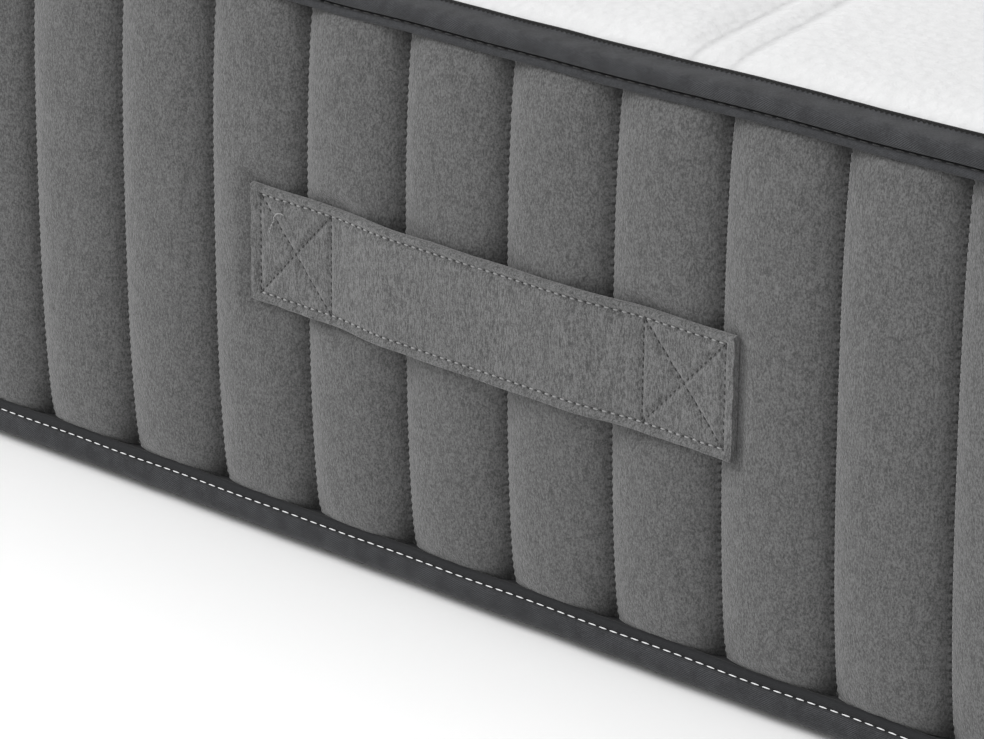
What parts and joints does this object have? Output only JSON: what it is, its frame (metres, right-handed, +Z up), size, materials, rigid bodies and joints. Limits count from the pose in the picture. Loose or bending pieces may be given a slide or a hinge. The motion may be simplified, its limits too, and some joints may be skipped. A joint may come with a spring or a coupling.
{
  "type": "mattress with side handles",
  "caption": "Tape edged pocket spring mattress with a channel quilted border and sewn strap handles on its long sides.",
  "frame": {"origin": "middle of the underside, on the surface that the mattress lies on", "axes": "+X along the mattress to its foot end, +Y across it, +Z up; the handles are on the -Y and +Y sides"},
  "size_m": [2.0016, 0.92, 0.25],
  "materials": {
    "border_melange": "soft grey melange jersey",
    "border_foam": "soft quilting foam",
    "fleece": "matt non-woven fleece",
    "seam_thread": "grey polyester thread",
    "white_thread": "pale polyester thread",
    "tape_thread": "dark polyester thread",
    "tape_twill": "dark slate twill tape",
    "seam_allowance": "folded layers of cover",
    "top_knit": "white double jersey",
    "underside_fabric": "grey non-slip underside cloth",
    "foam": "open cell foam",
    "felt": "pressed felt",
    "scrim": "white non-woven",
    "webbing": "woven webbing",
    "spring_steel": "drawn spring wire"
  },
  "bodies": {
    "root": {"underside_fabric": "underside_fabric", "underside_fleece": "fleece", "base_foam": "foam", "bottom_felt_pad": "felt", "bottom_spring_scrim": "scrim", "bottom_tape_edge": "tape_twill", "bottom_tape_seam_allowance": "seam_allowance", "bottom_tape_stitching": "white_thread", "border_fabric": "border_melange", "border_foam": "border_foam", "border_fleece": "fleece", "border_quilting_thread": "seam_thread", "front_side_rail": "foam", "back_side_rail": "foam", "head_end_rail": "foam", "foot_end_rail": "foam", "spring_coils_zone_1": "spring_steel", "spring_coils_zone_2": "spring_steel", "spring_coils_zone_3": "spring_steel", "spring_coils_zone_4": "spring_steel", "spring_coils_zone_5": "spring_steel", "spring_pockets_zone_1": "scrim", "spring_pockets_zone_2": "scrim", "spring_pockets_zone_3": "scrim", "spring_pockets_zone_4": "scrim", "spring_pockets_zone_5": "scrim"},
    "deck": {"top_cover_knit": "top_knit", "top_cover_wadding": "border_foam", "top_cover_backing": "fleece", "comfort_foam": "foam", "top_felt_pad": "felt", "top_spring_scrim": "scrim", "top_tape_edge": "tape_twill", "top_tape_seam_allowance": "seam_allowance", "top_tape_stitching": "tape_thread"},
    "side_band": {"handle_end_fabrics": "border_melange", "handle_end_webbings": "webbing", "handle_end_linings": "border_melange", "handle_box_stitches": "seam_thread", "handle_backing_patches": "scrim"},
    "front_head_grip": {"front_head_grip_fabric": "border_melange", "front_head_grip_webbing": "webbing", "front_head_grip_lining": "border_melange", "front_head_grip_stitching": "seam_thread"},
    "front_foot_grip": {"front_foot_grip_fabric": "border_melange", "front_foot_grip_webbing": "webbing", "front_foot_grip_lining": "border_melange", "front_foot_grip_stitching": "seam_thread"},
    "back_foot_grip": {"back_foot_grip_fabric": "border_melange", "back_foot_grip_webbing": "webbing", "back_foot_grip_lining": "border_melange", "back_foot_grip_stitching": "seam_thread"},
    "back_head_grip": {"back_head_grip_fabric": "border_melange", "back_head_grip_webbing": "webbing", "back_head_grip_lining": "border_melange", "back_head_grip_stitching": "seam_thread"}
  },
  "joints": [
    {"name": "deck_press", "type": "slide", "parent": "root", "child": "deck", "axis": [0, 0, 1], "range_m": [-0.05, 0], "stiffness_N_per_m": 8000, "springref_m": 0.02, "deforming": ["border_fabric", "border_foam", "border_fleece", "border_quilting_thread", "front_side_rail", "back_side_rail", "head_end_rail", "foot_end_rail", "spring_coils_zone_1", "spring_coils_zone_2", "spring_coils_zone_3", "spring_coils_zone_4", "spring_coils_zone_5", "spring_pockets_zone_1", "spring_pockets_zone_2", "spring_pockets_zone_3", "spring_pockets_zone_4", "spring_pockets_zone_5"]},
    {"name": "side_band_drop", "type": "slide", "parent": "root", "child": "side_band", "axis": [0, 0, 1], "range_m": [-0.025, 0]},
    {"name": "front_head_handle_pull", "type": "slide", "parent": "side_band", "child": "front_head_grip", "axis": [0, -1, 0], "range_m": [0, 0.03], "stiffness_N_per_m": 300},
    {"name": "front_foot_handle_pull", "type": "slide", "parent": "side_band", "child": "front_foot_grip", "axis": [0, -1, 0], "range_m": [0, 0.03], "stiffness_N_per_m": 300},
    {"name": "back_foot_handle_pull", "type": "slide", "parent": "side_band", "child": "back_foot_grip", "axis": [0, 1, 0], "range_m": [0, 0.03], "stiffness_N_per_m": 300},
    {"name": "back_head_handle_pull", "type": "slide", "parent": "side_band", "child": "back_head_grip", "axis": [0, 1, 0], "range_m": [0, 0.03], "stiffness_N_per_m": 300}
  ],
  "couplings": [
    {"joint": "side_band_drop", "follows": "deck_press", "ratio": 0.5}
  ]
}
